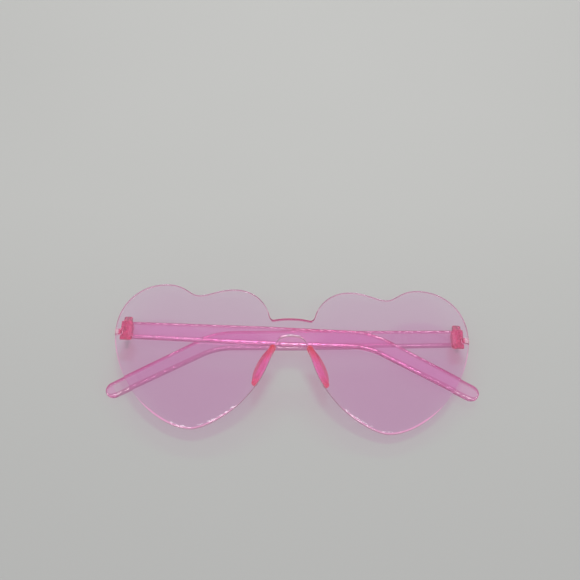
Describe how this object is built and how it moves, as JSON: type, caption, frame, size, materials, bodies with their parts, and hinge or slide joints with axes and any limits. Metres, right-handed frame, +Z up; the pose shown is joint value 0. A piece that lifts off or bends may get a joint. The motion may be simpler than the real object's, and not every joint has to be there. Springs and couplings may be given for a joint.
{
  "type": "sunglasses",
  "caption": "Rimless heart shaped sunglasses in clear pink plastic: one bridged lens sheet, nose pads, and temples that fold behind it on screw hinges.",
  "frame": {"origin": "on the resting plane, under the centre of the folded glasses' bounding box", "axes": "+X towards the right heart as seen from the lens front, +Y from the heart tips up to the lobes, +Z up through the lens, away from the table"},
  "size_m": [0.1554, 0.0616, 0.0227],
  "materials": {
    "lens": "clear tinted sheet, polished",
    "temple": "clear tinted, moulded gloss",
    "end_piece": "clear tinted, moulded gloss",
    "nose_pad": "clear tinted, moulded gloss",
    "screw": "dark plated"
  },
  "bodies": {
    "front": {"shield_lens": "lens", "left_end_piece": "end_piece", "right_end_piece": "end_piece", "left_hinge_screw": "screw", "right_hinge_screw": "screw", "left_nose_pad": "nose_pad", "right_nose_pad": "nose_pad"},
    "left_arm": {"left_temple": "temple"},
    "right_arm": {"right_temple": "temple"}
  },
  "joints": [
    {"name": "left_temple_hinge", "type": "hinge", "parent": "front", "child": "left_arm", "pos_m": [-0.07239, 0.01641, 0.0071], "axis": [0, 1, 0], "range_deg": [0, 90]},
    {"name": "right_temple_hinge", "type": "hinge", "parent": "front", "child": "right_arm", "pos_m": [0.07239, 0.01641, 0.0042], "axis": [0, -1, 0], "range_deg": [0, 90]}
  ]
}
